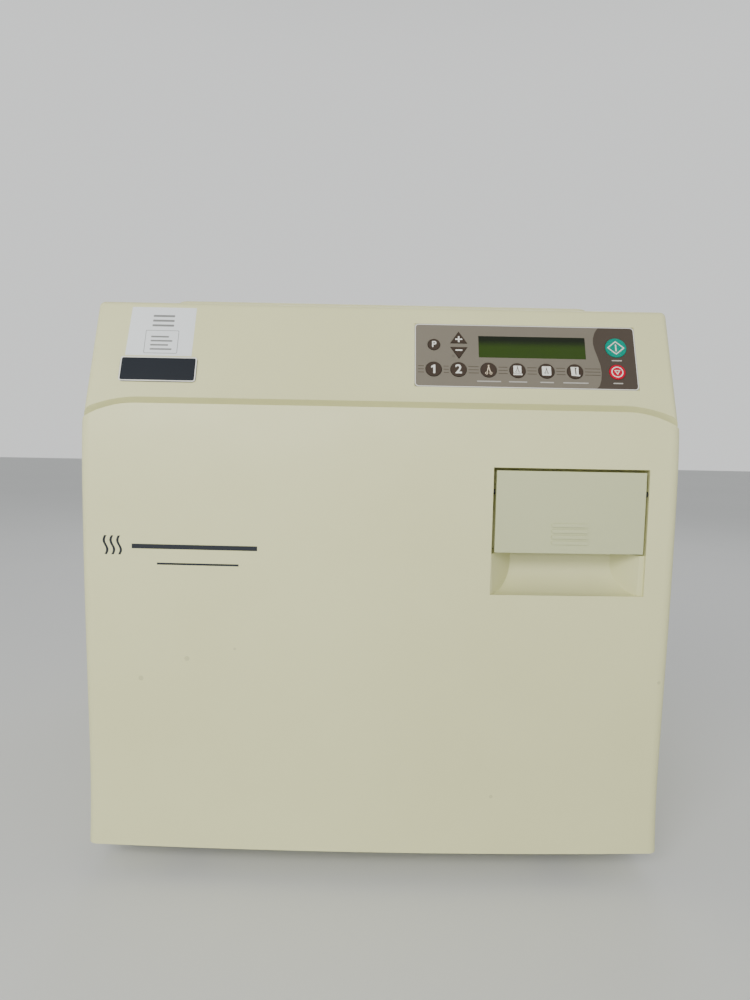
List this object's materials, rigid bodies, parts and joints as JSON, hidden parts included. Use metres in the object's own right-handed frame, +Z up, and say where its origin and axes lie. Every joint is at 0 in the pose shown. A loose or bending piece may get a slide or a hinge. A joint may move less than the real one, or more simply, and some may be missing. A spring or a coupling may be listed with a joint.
{
  "type": "benchtop autoclave",
  "caption": "Benchtop steam steriliser with a drop-down front door, sloping keypad hood, sprung door handle, round pressure chamber with trays and a top water reservoir.",
  "frame": {"origin": "middle of the footprint at the underside of the feet", "axes": "+X to the right of a person facing the door, +Y from the door to the rear panel, +Z up"},
  "size_m": [0.451, 0.531, 0.459],
  "materials": {
    "cream_plastic": "fine-textured moulded plastic, warm cream",
    "flap_plastic": "fine-textured moulded plastic, slightly greener cream",
    "painted_sheet": "powder coat, cream",
    "galvanised": "bare zinc-coated sheet",
    "stainless": "brushed stainless steel",
    "polished_stainless": "polished stainless steel",
    "tray_aluminium": "satin anodised",
    "rubber_black": "matt black rubber",
    "silicone_white": "off-white silicone",
    "insulation": "mineral fibre blanket",
    "tank_plastic": "natural white plastic",
    "brass": "machined brass",
    "copper_wire": "enamelled winding on a steel core",
    "board_green": "solder-masked circuit board",
    "black_plastic": "black moulded plastic",
    "overlay_taupe": "printed polyester overlay",
    "window_tint": "tinted display window",
    "lcd_green": "unlit display",
    "key_dark": "embossed key",
    "key_teal": "embossed key",
    "key_red": "embossed key",
    "badge_slate": "blank domed badge"
  },
  "bodies": {
    "chassis": {"base_tray": "galvanised", "rubber_feet": "rubber_black", "wrap_cover": "painted_sheet", "rear_panel": "painted_sheet", "front_bulkhead": "galvanised", "control_hood": "cream_plastic", "reservoir_cover": "cream_plastic", "filler_neck": "tank_plastic", "reservoir_tank": "tank_plastic", "chamber_shell": "stainless", "chamber_flange": "stainless", "insulation_jacket": "insulation", "chamber_saddles": "galvanised", "heating_element": "polished_stainless", "tray_rack": "polished_stainless", "tray_1": "tray_aluminium", "tray_2": "tray_aluminium", "tray_3": "tray_aluminium", "condensing_coil": "polished_stainless", "steam_pipe": "polished_stainless", "solenoid_valves": "brass", "temperature_probe": "polished_stainless", "power_board": "board_green", "transformer": "copper_wire", "control_board": "board_green", "lcd_module": "lcd_green", "display_window": "window_tint", "keypad_overlay": "overlay_taupe", "nameplate": "badge_slate", "power_inlet": "black_plastic", "fuse_holders": "black_plastic", "relief_valve": "brass", "latch_catches": "stainless", "hinge_brackets": "stainless", "hinge_pins": "polished_stainless", "cover_screws": "polished_stainless"},
    "door": {"door_cover": "cream_plastic", "handle_well": "cream_plastic", "handle_pin": "black_plastic", "door_liner": "galvanised", "pressure_plate": "stainless", "plate_gasket": "silicone_white", "door_bridge": "stainless", "hinge_lugs": "stainless"},
    "handle": {"handle_flap": "flap_plastic"},
    "latch": {"latch_shaft": "polished_stainless", "latch_hooks": "stainless"},
    "lid": {"fill_lid": "cream_plastic"},
    "relief": {"relief_pull": "polished_stainless"},
    "key_p": {"key_p": "key_dark"},
    "key_up": {"key_up": "key_dark"},
    "key_down": {"key_down": "key_dark"},
    "key_1": {"key_1": "key_dark"},
    "key_2": {"key_2": "key_dark"},
    "key_unwrapped": {"key_unwrapped": "key_dark"},
    "key_pouches": {"key_pouches": "key_dark"},
    "key_packs": {"key_packs": "key_dark"},
    "key_handpieces": {"key_handpieces": "key_dark"},
    "key_start": {"key_start": "key_teal"},
    "key_stop": {"key_stop": "key_red"}
  },
  "joints": [
    {"name": "door_hinge", "type": "hinge", "parent": "chassis", "child": "door", "pos_m": [0, -0.246, 0.032], "axis": [1, 0, 0], "range_deg": [0, 90]},
    {"name": "handle_hinge", "type": "hinge", "parent": "door", "child": "handle", "pos_m": [0.1431, -0.2573, 0.3086], "axis": [-1, 0, 0], "range_deg": [0, 35], "stiffness_Nm_per_rad": 0.3, "springref_deg": -20.05},
    {"name": "latch_turn", "type": "hinge", "parent": "door", "child": "latch", "pos_m": [0, -0.24, 0.35], "axis": [1, 0, 0], "range_deg": [0, 17.5]},
    {"name": "lid_hinge", "type": "hinge", "parent": "chassis", "child": "lid", "pos_m": [0, -0.0245, 0.4558], "axis": [-1, 0, 0], "range_deg": [0, 105]},
    {"name": "relief_slide", "type": "slide", "parent": "chassis", "child": "relief", "axis": [0, 1, 0], "range_m": [0, 0.003], "stiffness_N_per_m": 1500, "springref_m": -0.002},
    {"name": "key_p_press", "type": "slide", "parent": "chassis", "child": "key_p", "axis": [0, 0.9272, -0.3746], "range_m": [0, 0.0005], "stiffness_N_per_m": 400, "springref_m": -0.001},
    {"name": "key_up_press", "type": "slide", "parent": "chassis", "child": "key_up", "axis": [0, 0.9272, -0.3746], "range_m": [0, 0.0005], "stiffness_N_per_m": 400, "springref_m": -0.001},
    {"name": "key_down_press", "type": "slide", "parent": "chassis", "child": "key_down", "axis": [0, 0.9272, -0.3746], "range_m": [0, 0.0005], "stiffness_N_per_m": 400, "springref_m": -0.001},
    {"name": "key_1_press", "type": "slide", "parent": "chassis", "child": "key_1", "axis": [0, 0.9272, -0.3746], "range_m": [0, 0.0005], "stiffness_N_per_m": 400, "springref_m": -0.001},
    {"name": "key_2_press", "type": "slide", "parent": "chassis", "child": "key_2", "axis": [0, 0.9272, -0.3746], "range_m": [0, 0.0005], "stiffness_N_per_m": 400, "springref_m": -0.001},
    {"name": "key_unwrapped_press", "type": "slide", "parent": "chassis", "child": "key_unwrapped", "axis": [0, 0.9272, -0.3746], "range_m": [0, 0.0005], "stiffness_N_per_m": 400, "springref_m": -0.001},
    {"name": "key_pouches_press", "type": "slide", "parent": "chassis", "child": "key_pouches", "axis": [0, 0.9272, -0.3746], "range_m": [0, 0.0005], "stiffness_N_per_m": 400, "springref_m": -0.001},
    {"name": "key_packs_press", "type": "slide", "parent": "chassis", "child": "key_packs", "axis": [0, 0.9272, -0.3746], "range_m": [0, 0.0005], "stiffness_N_per_m": 400, "springref_m": -0.001},
    {"name": "key_handpieces_press", "type": "slide", "parent": "chassis", "child": "key_handpieces", "axis": [0, 0.9272, -0.3746], "range_m": [0, 0.0005], "stiffness_N_per_m": 400, "springref_m": -0.001},
    {"name": "key_start_press", "type": "slide", "parent": "chassis", "child": "key_start", "axis": [0, 0.9272, -0.3746], "range_m": [0, 0.0005], "stiffness_N_per_m": 400, "springref_m": -0.001},
    {"name": "key_stop_press", "type": "slide", "parent": "chassis", "child": "key_stop", "axis": [0, 0.9272, -0.3746], "range_m": [0, 0.0005], "stiffness_N_per_m": 400, "springref_m": -0.001}
  ],
  "couplings": [
    {"joint": "latch_turn", "follows": "handle_hinge", "ratio": 0.5}
  ]
}
